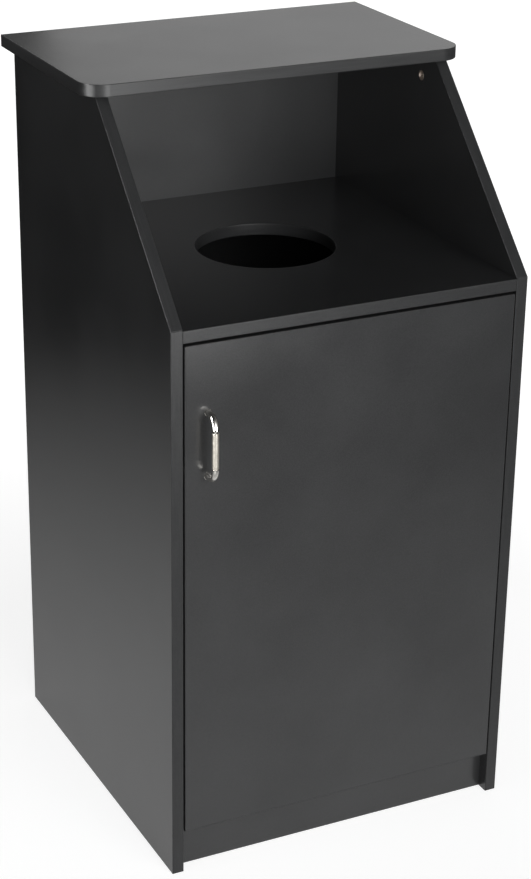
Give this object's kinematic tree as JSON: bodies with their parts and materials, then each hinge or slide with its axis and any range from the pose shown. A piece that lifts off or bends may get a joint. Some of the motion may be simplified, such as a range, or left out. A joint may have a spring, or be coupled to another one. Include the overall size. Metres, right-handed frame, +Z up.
{
  "type": "trash can cabinet",
  "caption": "Black laminated waste cabinet with a hooded sloped front, a round drop hole in its deck, and an inset hinged door with a bow pull that closes the bin space.",
  "frame": {"origin": "on the floor, in the middle of the footprint, with the pull handle included", "axes": "+X to the right of someone who faces the door, +Y to the back, +Z up"},
  "size_m": [0.602, 0.61, 1.143],
  "materials": {
    "black_laminate": "satin black melamine on particle board",
    "black_edge_strip": "black plastic edge strip, fine straight grain",
    "polished_nickel": "polished nickel",
    "satin_nickel": "satin nickel",
    "zinc_cam": "die-cast zinc, nickel plated",
    "zinc_steel": "zinc plated steel",
    "plated_steel": "nickel plated pressed steel",
    "beech": "plain beech",
    "bumper_rubber": "soft dark rubber"
  },
  "bodies": {
    "carcass": {"back_panel": "black_laminate", "cam_bolts": "zinc_steel", "cam_locks": "zinc_cam", "deck_board": "black_laminate", "deck_front_strip": "black_edge_strip", "deck_hole_strip": "black_edge_strip", "door_bumpers": "bumper_rubber", "floor_board": "black_laminate", "floor_front_strip": "black_edge_strip", "hinge_arm_screws": "plated_steel", "hinge_plate_screws": "plated_steel", "kick_board": "black_laminate", "left_front_strip": "black_edge_strip", "left_rear_strip": "black_edge_strip", "left_side_panel": "black_laminate", "left_slope_strip": "black_edge_strip", "lower_hinge_arm": "plated_steel", "lower_hinge_plate": "plated_steel", "right_front_strip": "black_edge_strip", "right_rear_strip": "black_edge_strip", "right_side_panel": "black_laminate", "right_slope_strip": "black_edge_strip", "top_board": "black_laminate", "top_front_strip": "black_edge_strip", "top_rear_strip": "black_edge_strip", "upper_hinge_arm": "plated_steel", "upper_hinge_plate": "plated_steel", "wood_dowels": "beech"},
    "door": {"door_bottom_strip": "black_edge_strip", "door_left_strip": "black_edge_strip", "door_panel": "black_laminate", "door_right_strip": "black_edge_strip", "door_top_strip": "black_edge_strip", "handle_grip": "satin_nickel", "handle_lower_end": "polished_nickel", "handle_screws": "zinc_steel", "handle_upper_end": "polished_nickel", "hinge_cup_screws": "plated_steel", "hinge_pins": "plated_steel", "lower_hinge_cup": "plated_steel", "upper_hinge_cup": "plated_steel"}
  },
  "joints": [
    {"name": "door_swing", "type": "hinge", "parent": "carcass", "child": "door", "pos_m": [0.2394, -0.2668, 0.45375], "axis": [0, 0, 1], "range_deg": [0, 92]}
  ]
}
